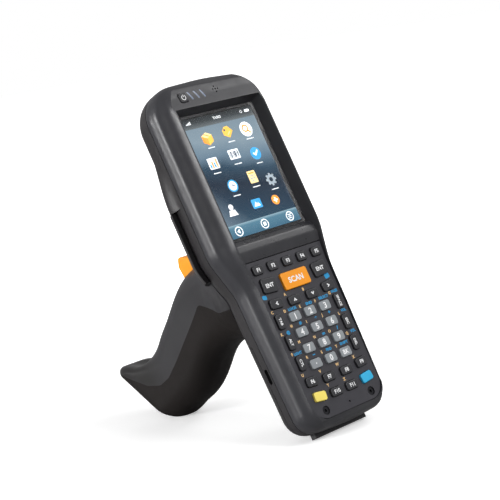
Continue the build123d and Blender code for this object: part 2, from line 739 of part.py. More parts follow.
spring_start = trigger_back - spring_gap
spring_length = spring_start - switch_board_y - spring_gap
coil = Helix(pitch=(spring_length - spring_wire) / spring_turns, height=spring_length - spring_wire,
             radius=spring_radius - spring_wire / 2)
wire = sweep(Plane(origin=coil @ 0, z_dir=coil % 0) * Circle(spring_wire / 2), path=coil, is_frenet=True)
nodes["trigger_spring"] = Pos(0, spring_start - spring_wire / 2, spring_z) * Rot(90, 0, 0) * wire

# ---------------------------------------------------------------------------- handle shells
handle = handle_outer - (overmould_region & (handle_outer - overmould_seat))
handle -= handle_hollow
handle += (pin_axis * Cylinder(pin_boss, 60)) & overmould_seat
bulkhead_y = switch_board_y - switch_board_thickness - bulkhead_gap
bulkhead = block((-40, 40), (bulkhead_y - bulkhead_thickness, bulkhead_y), (slot_low_z, slot_top_z))
handle += bulkhead & overmould_seat
for place in side_screws:
    handle += (place * Cylinder(screw_boss, 60)) & overmould_seat
handle -= saddle_clear
trigger_slot = block((-slot_half, slot_half), (slot_back_y, -10), (slot_low_z, slot_top_z))
handle -= trigger_slot
handle -= pin_axis * Cylinder(pin_radius + pin_seat, 2 * pin_half + 0.2)
for place in side_screws:
    handle -= screw_hole(place, 40.0)

nodes["handle_left"] = handle & block((-60, -handle_seam), (-200, 100), (-200, 60))
nodes["handle_right"] = handle & block((handle_seam, 60), (-200, 100), (-200, 60))
nodes["grip_overmould"] = (handle_outer & overmould_region) - overmould_core

# ---------------------------------------------------------------------------- screws
screws = [screw_at(place) for place in front_screws + case_screws + saddle_screws + side_screws]
nodes["screws"] = Compound(children=[solid for screw in screws for solid in screw.solids()])

# ---------------------------------------------------------------------------- standing pose
# the table plane passes just inside the dock strip's rear edge and the heel of the handle
strip_edge = Vector(0, bottom_end - dock_stand_out, dock_low_z)
heel_point = Vector(0, *heel)
slope = heel_point - strip_edge
down = Vector(0, slope.Z, -slope.Y).normalized()
strip_point = strip_edge - down * strip_flat
heel_ground = heel_point - down * heel_flat
table = heel_ground - strip_point
stand_angle = degrees(atan2(-table.Z, table.Y))
under_table = Plane(origin=strip_point, x_dir=(1, 0, 0), z_dir=Vector(0, table.Z, -table.Y).normalized())
cut_away = under_table * Pos(0, 0, 50) * Box(200, 500, 100)
for name in ("grip_overmould", "handle_left", "handle_right", "dock_connector"):
    nodes[name] = nodes[name] - cut_away
nodes["dock_connector"] = Compound(children=nodes["dock_connector"].solids() + contacts)

turned = {name: Rot(stand_angle, 0, 0) * shape for name, shape in nodes.items()}
box = Compound(children=[Part() + shape for shape in turned.values()]).bounding_box()
ground = (Rot(stand_angle, 0, 0) * Pos(*strip_point)).position.Z
settle = Pos(0, -(box.min.Y + box.max.Y) / 2, -ground)

for name, shape in turned.items():
    export_step(settle * shape, f"parts/{name}.step")
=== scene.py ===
# %% [markdown]
# A portable barcode data terminal stands on its lower end and on the heel of its pistol handle.
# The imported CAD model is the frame: it says where every shell, key and screw is. This script
# only dresses it, with finishes, printed legends and a lit picture, and sets up the shot.

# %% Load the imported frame
import json
import math
import bmesh
import bpy
import numpy as np
from mathutils import Euler, Matrix, Vector


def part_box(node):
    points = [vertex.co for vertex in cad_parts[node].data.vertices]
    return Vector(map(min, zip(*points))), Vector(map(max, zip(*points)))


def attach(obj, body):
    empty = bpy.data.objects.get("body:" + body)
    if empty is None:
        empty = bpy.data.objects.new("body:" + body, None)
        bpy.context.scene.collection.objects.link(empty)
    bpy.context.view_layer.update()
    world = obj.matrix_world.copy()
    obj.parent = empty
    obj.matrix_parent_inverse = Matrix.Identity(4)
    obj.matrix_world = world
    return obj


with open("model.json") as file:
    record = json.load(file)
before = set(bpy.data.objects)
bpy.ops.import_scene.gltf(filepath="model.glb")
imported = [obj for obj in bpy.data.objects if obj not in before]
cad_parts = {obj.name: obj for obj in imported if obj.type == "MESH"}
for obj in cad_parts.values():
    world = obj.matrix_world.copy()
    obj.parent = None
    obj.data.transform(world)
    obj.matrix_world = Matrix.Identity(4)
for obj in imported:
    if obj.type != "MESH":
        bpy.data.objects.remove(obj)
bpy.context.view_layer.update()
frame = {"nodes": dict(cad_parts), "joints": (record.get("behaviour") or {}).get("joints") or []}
nodes = frame["nodes"]

# %% [markdown]
# The terminal leans back, so placing a legend in the row frame would be awkward. Its own axes
# are easier: u across the display, v up the terminal, w out of the display, in millimetres.
# The origin is in the middle of the display, on the terminal's face: the middle of the display
# panel lies 2.05 mm under it. The lean comes from the direction in which a key is pressed, and
# the origin from the display panel's box, so both follow the CAD by themselves.

# %% The terminal's own axes
press = next(joint for joint in frame["joints"] if joint["name"] == "power_press")["axis"]
LEAN = math.atan2(press[1], -press[2])
TURN = Matrix.Rotation(LEAN, 3, "X")
PANEL_MIDDLE = -2.05
low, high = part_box("lcd_panel")
ORIGIN = (low + high) / 2 - TURN @ Vector((0, 0, PANEL_MIDDLE / 1000))


def at(u, v, w):
    """A point on the terminal, as a point in the row frame."""
    return ORIGIN + TURN @ (Vector((u, v, w)) / 1000)


def own_box(name):
    """Lowest and highest (u, v, w) of a CAD node."""
    co = np.empty(len(nodes[name].data.vertices) * 3)
    nodes[name].data.vertices.foreach_get("co", co)
    own = (co.reshape(-1, 3) - np.array(ORIGIN)) @ np.array(TURN) * 1000
    return own.min(0), own.max(0)


def top_of(name):
    """The middle of a CAD node's top, as (u, v, w)."""
    low, high = own_box(name)
    return (low[0] + high[0]) / 2, (low[1] + high[1]) / 2, high[2]


print("lean", round(math.degrees(LEAN), 2), "origin", [round(c, 4) for c in ORIGIN])

# %% [markdown]
# Moulded plastic is never one flat colour. A tool's spark-eroded surface leaves a fine grain
# that breaks up its highlights, the colour drifts a little over a few centimetres, and hands
# polish it unevenly. Each moulded finish below is built from the same three noises, one for the
# colour, one for the polish and one for the grain. Metal and ink need only one or two.

# %% Helpers for node trees
def colour(hexcode):
    """A screen colour such as "3a3a3d" as linear light."""
    parts = [int(hexcode[i:i + 2], 16) / 255 for i in (0, 2, 4)]
    return [c / 12.92 if c <= 0.04045 else ((c + 0.055) / 1.055) ** 2.4 for c in parts] + [1.0]


def new_material(name):
    """An empty node material with its shader and its object coordinates."""
    mat = bpy.data.materials.new(name)
    mat.use_nodes = True
    tree = mat.node_tree
    shader = tree.nodes["Principled BSDF"]
    coords = tree.nodes.new("ShaderNodeTexCoord")
    return mat, tree, shader, coords.outputs["Object"]


def noise(tree, vector, scale, detail=3.0, rough=0.55):
    """A noise texture's grey value."""
    node = tree.nodes.new("ShaderNodeTexNoise")
    node.inputs["Scale"].default_value = scale
    node.inputs["Detail"].default_value = detail
    node.inputs["Roughness"].default_value = rough
    tree.links.new(vector, node.inputs["Vector"])
    return node.outputs["Fac"]


def ramp(tree, value, stops):
    """A value turned into colours: stops are (place, colour)."""
    node = tree.nodes.new("ShaderNodeValToRGB")
    while len(node.color_ramp.elements) < len(stops):
        node.color_ramp.elements.new(0.5)
    for element, (place, tint) in zip(node.color_ramp.elements, stops):
        element.position = place
        element.color = tint
    tree.links.new(value, node.inputs["Fac"])
    return node.outputs["Color"]


def spread(tree, value, low, high, source=(0.3, 0.7)):
    """A value moved from one range to another."""
    node = tree.nodes.new("ShaderNodeMapRange")
    node.inputs["From Min"].default_value, node.inputs["From Max"].default_value = source
    node.inputs["To Min"].default_value, node.inputs["To Max"].default_value = low, high
    tree.links.new(value, node.inputs["Value"])
    return node.outputs["Result"]


def sums(tree, operation, one, two):
    """One arithmetic step. An input is a socket or a number."""
    node = tree.nodes.new("ShaderNodeMath")
    node.operation = operation
    for socket, value in zip(node.inputs, (one, two)):
        if isinstance(value, (int, float)):
            socket.default_value = value
        else:
            tree.links.new(value, socket)
    return node.outputs[0]


def bump(tree, shader, height, depth):
    """Height as surface relief, depth in metres."""
    node = tree.nodes.new("ShaderNodeBump")
    node.inputs["Strength"].default_value = 1.0
    node.inputs["Distance"].default_value = depth
    tree.links.new(height, node.inputs["Height"])
    tree.links.new(node.outputs["Normal"], shader.inputs["Normal"])


# %% Moulded finishes
DRIFT_SCALE, POLISH_SCALE = 38.0, 150.0
SPARKED = {"depth": 0.00003}
KEY_GRAIN = {"grain": 3200.0, "depth": 0.00002}


def moulded(name, base, rough=0.42, drift=0.10, grain=2600.0, depth=0.000015, specular=0.5):
    """Moulded plastic or elastomer: colour drift, uneven polish and a fine grain."""
    mat, tree, shader, where = new_material(name)
    wide = noise(tree, where, DRIFT_SCALE, 3.0)
    dark = [c * (1 - drift) for c in base[:3]] + [1]
    light = [c * (1 + drift) for c in base[:3]] + [1]
    tree.links.new(ramp(tree, wide, [(0.3, dark), (0.7, light)]), shader.inputs["Base Color"])
    polish = noise(tree, where, POLISH_SCALE, 4.0)
    tree.links.new(spread(tree, polish, rough - 0.05, rough + 0.06), shader.inputs["Roughness"])
    bump(tree, shader, noise(tree, where, grain, 2.0, 0.6), depth)
    shader.inputs["Specular IOR Level"].default_value = specular
    return mat


shell = moulded("shell", colour("2f2f33"), 0.37)
rear = moulded("rear_plastic", colour("242224"), 0.42, **SPARKED)
grip = moulded("grip_plastic", colour("272629"), 0.40)
elastomer = moulded("elastomer", colour("1a1615"), 0.66, 0.16, grain=1400.0, depth=0.00005,
                    specular=0.18)
bridge_finish = moulded("bridge", colour("2b2b2f"), 0.30)
panel_finish = moulded("panel", colour("323137"), 0.42, **SPARKED)
silicone = moulded("silicone", colour("8a8a8c"), 0.6)
key_dark = moulded("key_dark", colour("2c2c30"), 0.38, 0.06, **KEY_GRAIN)
key_grey = moulded("key_grey", colour("8e9397"), 0.40, 0.05, **KEY_GRAIN)
key_yellow = moulded("key_yellow", colour("fae46e"), 0.40, 0.04, **KEY_GRAIN)
key_blue = moulded("key_blue", colour("2eb0de"), 0.40, 0.05, **KEY_GRAIN)
orange = moulded("orange", colour("f89b10"), 0.40, 0.05, **KEY_GRAIN)
contact_block = moulded("contact_block", colour("242426"), 0.5)
board_green = moulded("board", colour("1d5a34"), 0.35, 0.12)
engine_black = moulded("engine", colour("2a2a2c"), 0.5)
print("materials so far, with those of the frame", len(bpy.data.materials))


# %% Metal and ink
def metal(name, base, rough):
    """Plated steel, with fine turning marks in its polish."""
    mat, tree, shader, where = new_material(name)
    shader.inputs["Metallic"].default_value = 1.0
    tarnished = [c * 0.8 for c in base[:3]] + [1]
    tint = ramp(tree, noise(tree, where, 700.0), [(0.3, tarnished), (0.7, base)])
    tree.links.new(tint, shader.inputs["Base Color"])
    polish = spread(tree, noise(tree, where, 1800.0), rough - 0.08, rough + 0.1)
    tree.links.new(polish, shader.inputs["Roughness"])
    return mat


steel = metal("steel", colour("424246"), 0.26)
gold = metal("gold_plating", colour("d8a24a"), 0.25)


def ink(name, base, glow=0.0, rough=0.5):
    """Printed ink, slightly uneven, a lit shape on the display when it glows, or a flat painted shade.
    """
    mat, tree, shader, where = new_material(name)
    thin = [c * 0.92 for c in base[:3]] + [1]
    tint = ramp(tree, noise(tree, where, 900.0), [(0.3, thin), (0.7, base)])
    tree.links.new(tint, shader.inputs["Base Color"])
    shader.inputs["Roughness"].default_value = rough
    if glow:
        tree.links.new(tint, shader.inputs["Emission Color"])
        shader.inputs["Emission Strength"].default_value = glow
    return mat


print("materials so far", len(bpy.data.materials))

# %% [markdown]
# Painted shade darkens the handle's moulding down at the toe, low on the handle where little light
# reaches. It is a colour that follows the terminal's own axes, from plain moulding to painted shade
# within 18 mm, because the shape has no edge there that it could end at.

# %% Painted shade on the handle's toe
def own_axes(tree, where):
    """u, v and w in millimetres, as sockets, from the object coordinates."""
    mapping = tree.nodes.new("ShaderNodeMapping")
    mapping.inputs["Rotation"].default_value = Euler((-LEAN, 0, 0))
    mapping.inputs["Location"].default_value = -(TURN.inverted() @ ORIGIN) * 1000
    mapping.inputs["Scale"].default_value = (1000, 1000, 1000)
    tree.links.new(where, mapping.inputs["Vector"])
    split = tree.nodes.new("ShaderNodeSeparateXYZ")
    tree.links.new(mapping.outputs["Vector"], split.inputs["Vector"])
    return split.outputs["X"], split.outputs["Y"], split.outputs["Z"]


def blend_colours(tree, factor, one, two):
    """Two colours mixed by a factor. A colour is a socket or a value."""
    node = tree.nodes.new("ShaderNodeMix")
    node.data_type = "RGBA"
    tree.links.new(factor, node.inputs["Factor"])
    for socket, value in ((node.inputs[6], one), (node.inputs[7], two)):
        if isinstance(value, list):
            socket.default_value = value
        else:
            tree.links.new(value, socket)
    return node.outputs[2]


# The heights on w, in millimetres, between which the toe's painted shade comes in
TOE_SHADED, TOE_UNSHADED = -122.0, -104.0


def darken_toe():
    """The handle's moulding darkens down at the toe, in painted shade."""
    tree = grip.node_tree
    shader = tree.nodes["Principled BSDF"]
    where = next(node for node in tree.nodes if node.type == "TEX_COORD").outputs["Object"]
    w = own_axes(tree, where)[2]
    plain = shader.inputs["Base Color"].links[0].from_socket
    # Painted shade: towards the toe the colour turns to 151313.
    unshaded_share = spread(tree, w, 0.0, 1.0, (TOE_SHADED, TOE_UNSHADED))
    tree.links.new(blend_colours(tree, unshaded_share, colour("151313"), plain), shader.inputs["Base Color"])


darken_toe()
# The toe's painted shade lies between these heights.
print("toe coated from w", TOE_UNSHADED, "to", TOE_SHADED)

# %% [markdown]
# The display is a lit picture behind a clear window. Its wallpaper is a soft gradient from
# grey-blue to navy, drawn from the terminal's own axes, so it needs no image. The bars at the
# top and bottom have short gradients of their own.

# %% The picture
# Half the picture's width and height, the edges of its two bars, and the heights between which
# the sky's colours run, in millimetres; the sky's slant, and how far clouds shift its colours
PICTURE_HALF, PICTURE_END = 24.3, 32.4
STATUS_LOW, DOCK_HIGH = 26.9, -25.6
SKY_LOW, SKY_HIGH = -30.0, 34.0
SLANT, CLOUD_SCALE, CLOUD_SHIFT = 0.16, 70.0, 7.0


def tints(*stops):
    """Stops for a ramp from (place, screen colour)."""
    return [(place, colour(code)) for place, code in stops]


def picture_material():
    """The lit wallpaper with its status bar and its lower bar, and a black surround."""
    mat, tree, shader, where = new_material("display_picture")
    u, v, _ = own_axes(tree, where)
    slope = sums(tree, "ADD", v, sums(tree, "MULTIPLY", u, SLANT))
    cloud = sums(tree, "MULTIPLY", noise(tree, where, CLOUD_SCALE, 2.0), CLOUD_SHIFT)
    height = spread(tree, sums(tree, "ADD", slope, cloud), 0.0, 1.0, (SKY_LOW, SKY_HIGH))
    sky = ramp(tree, height, tints((0.0, "2b566e"), (0.22, "123750"), (0.42, "06233a"), (0.56, "25475e"),
                                   (0.66, "6e899d"), (0.8, "8fa4b2"), (1.0, "8297a6")))
    corner = sums(tree, "ADD", sums(tree, "MULTIPLY", u, -0.06), sums(tree, "MULTIPLY", v, -0.05))
    sky = blend_colours(tree, spread(tree, corner, 0.0, 0.75, (1.6, 2.9)), sky, colour("8295a5"))
    dock = ramp(tree, spread(tree, v, 0.0, 1.0, (-PICTURE_END, DOCK_HIGH)),
                tints((0.0, "3c6f8b"), (0.8, "5688a0"), (1.0, "9fc0cf")))
    status = ramp(tree, spread(tree, v, 0.0, 1.0, (STATUS_LOW, PICTURE_END)),
                  tints((0.0, "6f787c"), (0.5, "3c4347"), (1.0, "22272a")))
    picture = blend_colours(tree, sums(tree, "LESS_THAN", v, DOCK_HIGH), sky, dock)
    picture = blend_colours(tree, sums(tree, "GREATER_THAN", v, STATUS_LOW), picture, status)
    inside_u = sums(tree, "LESS_THAN", sums(tree, "ABSOLUTE", u, 0.0), PICTURE_HALF)
    inside_v = sums(tree, "LESS_THAN", sums(tree, "ABSOLUTE", v, 0.0), PICTURE_END)
    lit = blend_colours(tree, sums(tree, "MULTIPLY", inside_u, inside_v), colour("050506"), picture)
    tree.links.new(lit, shader.inputs["Emission Color"])
    shader.inputs["Emission Strength"].default_value = 1.0
    shader.inputs["Base Color"].default_value = colour("0a0c10")
    shader.inputs["Roughness"].default_value = 0.3
    shader.inputs["Specular IOR Level"].default_value = 0.05
    return mat


picture = picture_material()
print("picture", 2 * PICTURE_HALF, "x", 2 * PICTURE_END, "mm")


# %% Clear mouldings
def clear(name, tint, rough, transmission=1.0, specular=0.5):
    """A clear or tinted moulding, with the faint smears a touched window has."""
    mat, tree, shader, where = new_material(name)
    shader.inputs["Base Color"].default_value = tint
    shader.inputs["Specular IOR Level"].default_value = specular
    shader.inputs["Transmission Weight"].default_value = transmission
    shader.inputs["IOR"].default_value = 1.45
    smears = spread(tree, noise(tree, where, 60.0, 5.0), rough, rough + 0.05)
    tree.links.new(smears, shader.inputs["Roughness"])
    return mat


window = clear("window", [1, 1, 1, 1], 0.02, specular=0.2)
scan_glass = clear("scan_glass", colour("5a1418"), 0.03, 0.85)
lamp = clear("lamp", colour("a9b6cf"), 0.25, 0.5)
print("materials so far", len(bpy.data.materials))

# %% [markdown]
# Every CAD node gets its finish here. The shells come from CAD as fine triangles, so they are
# shaded smooth except across real edges. That is a modifier, which leaves the mesh alone.

# %% Smooth shading that keeps real edges
# In degrees, and in metres
REAL_EDGE = 32
WELD = 0.000002


def smooth_group():
    """A node group that shades faces smooth and keeps edges sharper than an angle."""
    group = bpy.data.node_groups.new("smooth_by_angle", "GeometryNodeTree")
    group.interface.new_socket("Geometry", in_out="INPUT", socket_type="NodeSocketGeometry")
    angle = group.interface.new_socket("Angle", in_out="INPUT", socket_type="NodeSocketFloat")
    angle.default_value = math.radians(REAL_EDGE)
    group.interface.new_socket("Geometry", in_out="OUTPUT", socket_type="NodeSocketGeometry")
    source, sink = group.nodes.new("NodeGroupInput"), group.nodes.new("NodeGroupOutput")
    merge = group.nodes.new("GeometryNodeMergeByDistance")
    merge.inputs["Distance"].default_value = WELD
    faces = group.nodes.new("GeometryNodeSetShadeSmooth")
    faces.domain = "FACE"
    edges = group.nodes.new("GeometryNodeSetShadeSmooth")
    edges.domain = "EDGE"
    edges.inputs["Shade Smooth"].default_value = False
    bend = group.nodes.new("GeometryNodeInputMeshEdgeAngle")
    sharper = group.nodes.new("FunctionNodeCompare")
    sharper.operation = "GREATER_THAN"
    group.links.new(source.outputs["Geometry"], merge.inputs["Geometry"])
    group.links.new(merge.outputs["Geometry"], faces.inputs["Geometry"])
    group.links.new(faces.outputs["Geometry"], edges.inputs["Geometry"])
    group.links.new(bend.outputs["Unsigned Angle"], sharper.inputs["A"])
    group.links.new(source.outputs["Angle"], sharper.inputs["B"])
    group.links.new(sharper.outputs["Result"], edges.inputs["Selection"])
    group.links.new(edges.outputs["Geometry"], sink.inputs["Geometry"])
    return group


smooth = smooth_group()
print("real edge from", REAL_EDGE, "degrees")

# %% Dress the CAD nodes
finishes = {
    "front_shell": shell, "rear_shell": rear, "display_window": window, "lcd_panel": picture,
    "bridge_plate": bridge_finish, "keypad_panel": panel_finish, "keypad_mat": silicone,
    "circuit_boards": board_green, "battery_pack": rear, "scan_engine": engine_black,
    "scan_window": scan_glass, "lamp_pipes": lamp, "dock_connector": contact_block,
    "screws": steel, "saddle_plate": rear, "handle_left": grip, "handle_right": grip,
    "grip_overmould": elastomer, "trigger": orange, "trigger_pin": steel, "trigger_spring": steel,
    "key_scan": orange, "key_yellow": key_yellow, "key_blue": key_blue,
}
for name in ("1", "2", "3", "4", "5", "6", "7", "8", "9", "star", "0", "back"):
    finishes[f"key_{name}"] = key_grey
# What is left, the power key and the other keys, is dark.
for name, obj in nodes.items():
    obj.data.materials.clear()
    obj.data.materials.append(finishes.get(name, key_dark))
    modifier = obj.modifiers.new("smooth", "NODES")
    modifier.node_group = smooth
print("dressed", len(nodes))

# %% [markdown]
# Legends are printed ink, about a hundredth of a millimetre proud. They are cut from a plain
# font as outlines, turned into mesh, and laid on the key or panel that carries them. Each
# key's legend rides with its key, so it sinks when the key is pressed.

# %% Letters
REGULAR, BOLD = 0.03, 0.045


def letters(text, size, weight=REGULAR):
    """The triangles of a word, centred on the origin, in millimetres."""
    curve = bpy.data.curves.new("word", "FONT")
    curve.body = text
    curve.size = size
    curve.offset = weight * size
    curve.resolution_u = 3
    curve.align_x = "CENTER"
    holder = bpy.data.objects.new("word", curve)
    bpy.context.scene.collection.objects.link(holder)
    mesh = bpy.data.meshes.new_from_object(holder.evaluated_get(bpy.context.evaluated_depsgraph_get()))
    points = np.array([vertex.co[:2] for vertex in mesh.vertices])
    points -= (points.min(0) + points.max(0)) / 2
    faces = [tuple(polygon.vertices) for polygon in mesh.polygons]
    bpy.data.objects.remove(holder)
    bpy.data.curves.remove(curve)
    bpy.data.meshes.remove(mesh)
    return points, faces


def word(text, width, height):
    """A word stretched to fill a given width and height."""
    points, faces = letters(text, height, BOLD)
    span = points.max(0) - points.min(0)
    return points * (np.array([width, height]) / span), faces


# %% Flat shapes
ROUND_STEPS, CORNER_STEPS = 28, 4


def loop(points):
    """A single flat face from its corners."""
    return np.array(points, float), [tuple(range(len(points)))]


def disc(radius):
    """A round flat face."""
    turns = [2 * math.pi * i / ROUND_STEPS for i in range(ROUND_STEPS)]
    return loop([(radius * math.cos(a), radius * math.sin(a)) for a in turns])


def bar(width, height, corner=0.0):
    """A flat bar, with rounded corners if it has a corner radius."""
    x, y = width / 2, height / 2
    if not corner:
        return loop([(-x, -y), (x, -y), (x, y), (-x, y)])
    points = []
    for sx, sy, start in ((1, 1, 0), (-1, 1, 90), (-1, -1, 180), (1, -1, 270)):
        for step in range(CORNER_STEPS + 1):
            angle = math.radians(start + 90 * step / CORNER_STEPS)
            points.append((sx * (x - corner) + corner * math.cos(angle),
                           sy * (y - corner) + corner * math.sin(angle)))
    return loop(points)


def ring(outer, inner, start=0.0, end=360.0):
    """A flat ring, or the part of it between two angles."""
    points, faces = [], []
    for i in range(ROUND_STEPS + 1):
        angle = math.radians(start + (end - start) * i / ROUND_STEPS)
        x, y = math.cos(angle), math.sin(angle)
        points += [(outer * x, outer * y), (inner * x, inner * y)]
    for i in range(ROUND_STEPS):
        faces.append((2 * i, 2 * i + 1, 2 * i + 3, 2 * i + 2))
    return np.array(points), faces


# %% Flat shapes and letters turned into a printed piece
INK_THICKNESS = 0.012


def printed(name, shapes, finish, body, thickness=INK_THICKNESS):
    """One piece from flat shapes: each is (points and faces, u, v, w, turn in degrees)."""
    bm = bmesh.new()
    for (points, faces), u, v, w, turn in shapes:
        c, s = math.cos(math.radians(turn)), math.sin(math.radians(turn))
        made = [bm.verts.new(at(u + c * x - s * y, v + s * x + c * y, w + thickness))
                for x, y in points]
        for face in faces:
            bm.faces.new([made[i] for i in face])
    bmesh.ops.recalc_face_normals(bm, faces=bm.faces)
    outward = TURN @ Vector((0, 0, 1))
    for face in bm.faces:
        if face.normal.dot(outward) < 0:
            face.normal_flip()
    mesh = bpy.data.meshes.new(name)
    bm.to_mesh(mesh)
    bm.free()
    mesh.materials.append(finish)
    piece = bpy.data.objects.new(name, mesh)
    bpy.context.scene.collection.objects.link(piece)
    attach(piece, body)


white = ink("ink_white", colour("f6f7f8"))
peach = ink("ink_peach", colour("f3c98b"))
blue = ink("ink_blue", colour("1796d0"))
print("inks", white.name, peach.name, blue.name)

# %% Key legends
# What is printed and its font size in millimetres. The tall side keys are read sideways.
DIGIT, FUNCTION, SIDE = 4.2, 2.7, 2.1
CHEVRON = [(-0.9, 0.0), (0.55, 1.05), (0.95, 0.55), (0.1, 0.0), (0.95, -0.55), (0.55, -1.05)]
words = {"key_scan": ("SCAN", 4.0), "key_enter_left": ("ENT", 2.9),
         "key_enter_right": ("ENT", 2.9), "key_star": (".", DIGIT), "key_back": ("BK", 3.2)}
for index in range(1, 12):
    words[f"key_f{index}"] = (f"F{index}", FUNCTION)
for index in range(10):
    words[f"key_{index}"] = (str(index), DIGIT)
sideways = {"key_left_top": "TAB", "key_left_middle": "ALT", "key_left_bottom": "CTL",
            "key_right_top": "SPACE", "key_right_middle": "ESC", "key_right_bottom": "DEL"}
arrows = {"key_arrow_left": 0, "key_arrow_right": 180, "key_arrow_up": -90, "key_arrow_down": 90}
for name in [node for node in nodes if node.startswith("key_")]:
    if name in words:
        shape, turn = letters(*words[name]), 0
    elif name in sideways:
        shape, turn = letters(sideways[name], SIDE), -90
    elif name in arrows:
        shape, turn = loop(CHEVRON), arrows[name]
    else:
        continue
    printed(f"legend_{name[4:]}", [(shape, *top_of(name), turn)], white, name)
u, v, w = top_of("power_button")
power = [(ring(1.45, 1.05, 125, 415), u, v, w, 0), (bar(0.4, 1.3), u, v + 0.9, w, 0)]
printed("legend_power", power, white, "power_button")

# %% [markdown]
# A keypad this small has fewer keys than characters, so the panel between the keys carries two
# more sets: letters in a peach tone, for the yellow shift key, and functions in the blue of the
# other shift key. They are pad-printed on the panel, so they stay still when a key is pressed.
# A blue word is stretched to fill the little box that the keys leave free.

# %% Second and third functions, printed on the panel
PANEL = own_box("keypad_panel")[1][2]
# Each place is the middle of a mark: u, v. The blue marks also have a width and a height.
seconds = [(-10.4, -66.5), (2.4, -67.0), (-22.9, -73.0), (-14.9, -74.3), (-4.3, -74.6),
           (6.6, -74.6), (17.9, -73.3), (-14.9, -82.3), (-4.5, -82.8), (6.9, -82.6),
           (-22.9, -84.6), (18.2, -84.6), (-14.5, -90.8), (-3.8, -91.3), (7.1, -91.2),
           (-22.1, -95.4), (17.6, -95.5), (-13.8, -99.2), (-3.6, -99.5), (7.1, -99.5),
           (-21.4, -106.6), (-9.9, -107.9), (2.6, -107.9), (14.9, -107.5), (-8.7, -115.6),
           (2.9, -115.9)]
alphabet = "ABCDEFGHIJKLMNOPQRSTUVWXYZ"
shapes = [(letters(letter, 2.0, BOLD), u, v, PANEL, 0) for letter, (u, v) in zip(alphabet, seconds)]
printed("panel_marks_peach", shapes, peach, "terminal")
thirds = [("LOCK", -9.5, -74.3, 6.0, 1.5), ("END", 2.1, -74.5, 4.4, 1.5),
          ("SELECT", 12.9, -74.1, 7.0, 1.5), ("PAGE", 21.5, -73.1, 4.5, 1.5),
          ("#", -8.6, -82.4, 1.8, 1.7), ("*", 2.4, -82.6, 1.6, 1.5),
          ("+", 12.4, -82.2, 1.6, 1.6), ("@", -18.5, -84.8, 2.4, 2.2),
          ("VOL", 22.0, -83.7, 3.8, 1.6), ("=", 2.8, -91.3, 2.0, 1.1),
          ("/", 13.1, -90.9, 1.2, 1.8), ("LIGHT", -18.3, -95.8, 5.4, 1.5),
          ("VOL", 22.1, -95.1, 3.7, 1.6), ("FIND", 1.7, -99.3, 3.8, 1.5),
          ("SHIFT", 12.9, -99.1, 5.8, 1.5), ("-", -9.0, -99.2, 1.8, 0.5)]
shapes = [(word(text, width, height), u, v, PANEL, 0) for text, u, v, width, height in thirds]
shapes += [(bar(2.9, 2.2, 0.8), -23.5, -64.9, PANEL, -12),
           (bar(3.4, 2.6, 0.8), 21.3, -64.6, PANEL, 12)]
printed("panel_marks_blue", shapes, blue, "terminal")
print("marks on the panel", len(seconds) + len(thirds) + 2)

# %% [markdown]
# The picture shows an invented set of tasks for a store room: a chart, a tag, a magnifier, a
# parcel, a bar code, a tick, a clock, a list and a cog, and in the row under them a person, a
# landscape and a plus sign. They are flat shapes a hair in front of the display panel, behind
# the window, and they glow like the rest of the picture.

# %% Icons on the display
SCREEN = own_box("lcd_panel")[1][2]
codes = {"white": "f2f5f7", "cream": "f4dfa0", "yellow": "e9bd4a", "orange": "f29a2e",
         "blue": "2f9fd6", "navy": "173250", "grey": "9aa6ae"}
glow = {name: ink(f"screen_{name}", colour(code), 1.0) for name, code in codes.items()}
drawing = {name: [] for name in glow}
PICTURE_THICKNESS, LAYER = 0.006, 0.004


def draw(tint, shape, u, v, turn=0, layer=0):
    """Adds one flat shape to the picture, as many layers above the first as it says."""
    drawing[tint].append((shape, u, v, SCREEN + LAYER * layer, turn))


print("tints on the display", len(glow), "front of the panel", round(float(SCREEN), 2))


# %% Four motifs: chart, tag, magnifier, parcel
def chart(u, v):
    """A page with four columns of a chart on it."""
    draw("white", bar(6.6, 6.0, 0.5), u, v)
    columns = (("blue", 2.2), ("orange", 3.6), ("blue", 2.8), ("orange", 4.6))
    for step, (tint, height) in enumerate(columns):
        draw(tint, bar(0.9, height), u - 2.1 + 1.4 * step, v - 2.4 + height / 2, layer=1)


def tag(u, v):
    """A price tag with its hole."""
    outline = loop([(-3.4, 1.0), (-1.4, 3.0), (1.0, 3.2), (3.6, 0.2), (0.2, -3.2), (-3.2, -1.4)])
    draw("yellow", outline, u, v)
    draw("navy", disc(0.6), u - 1.7, v + 1.3, layer=1)
    draw("cream", bar(2.6, 0.6), u + 0.6, v - 0.6, 40, 1)


def magnifier(u, v):
    """A magnifying glass on a pale disc."""
    draw("white", disc(4.1), u, v)
    draw("orange", ring(2.1, 1.35), u - 0.5, v + 0.5, layer=1)
    draw("orange", bar(2.4, 0.9, 0.3), u + 1.6, v - 1.6, -45, 1)


def parcel(u, v):
    """A closed box with a strip of tape."""
    draw("orange", loop([(-3.4, 1.4), (0, -0.2), (0, -4.0), (-3.4, -2.2)]), u, v)
    draw("yellow", loop([(3.4, 1.4), (0, -0.2), (0, -4.0), (3.4, -2.2)]), u, v)
    draw("cream", loop([(-3.4, 1.4), (0, -0.2), (3.4, 1.4), (0, 3.0)]), u, v, layer=1)
    draw("orange", loop([(-1.9, 2.1), (1.5, 0.5), (2.1, 0.8), (-1.3, 2.4)]), u, v, layer=2)


# %% Five more: bar code, tick, clock, list, cog
def bar_code(u, v):
    """A label with a bar code."""
    draw("white", bar(7.2, 5.2, 0.4), u, v)
    for step, width in enumerate((0.3, 0.7, 0.3, 0.5, 0.9, 0.3, 0.6)):
        draw("navy", bar(width, 3.4), u - 2.7 + 0.9 * step, v, layer=1)


def tick(u, v):
    """A tick in a blue disc."""
    draw("blue", disc(3.4), u, v)
    draw("white", loop([(-1.9, 0.1), (-1.2, 0.8), (-0.4, 0.0), (-0.4, -1.4)]), u, v, layer=1)
    draw("white", loop([(-0.4, -1.4), (-0.4, 0.0), (1.6, 2.0), (2.2, 1.3)]), u, v, layer=1)


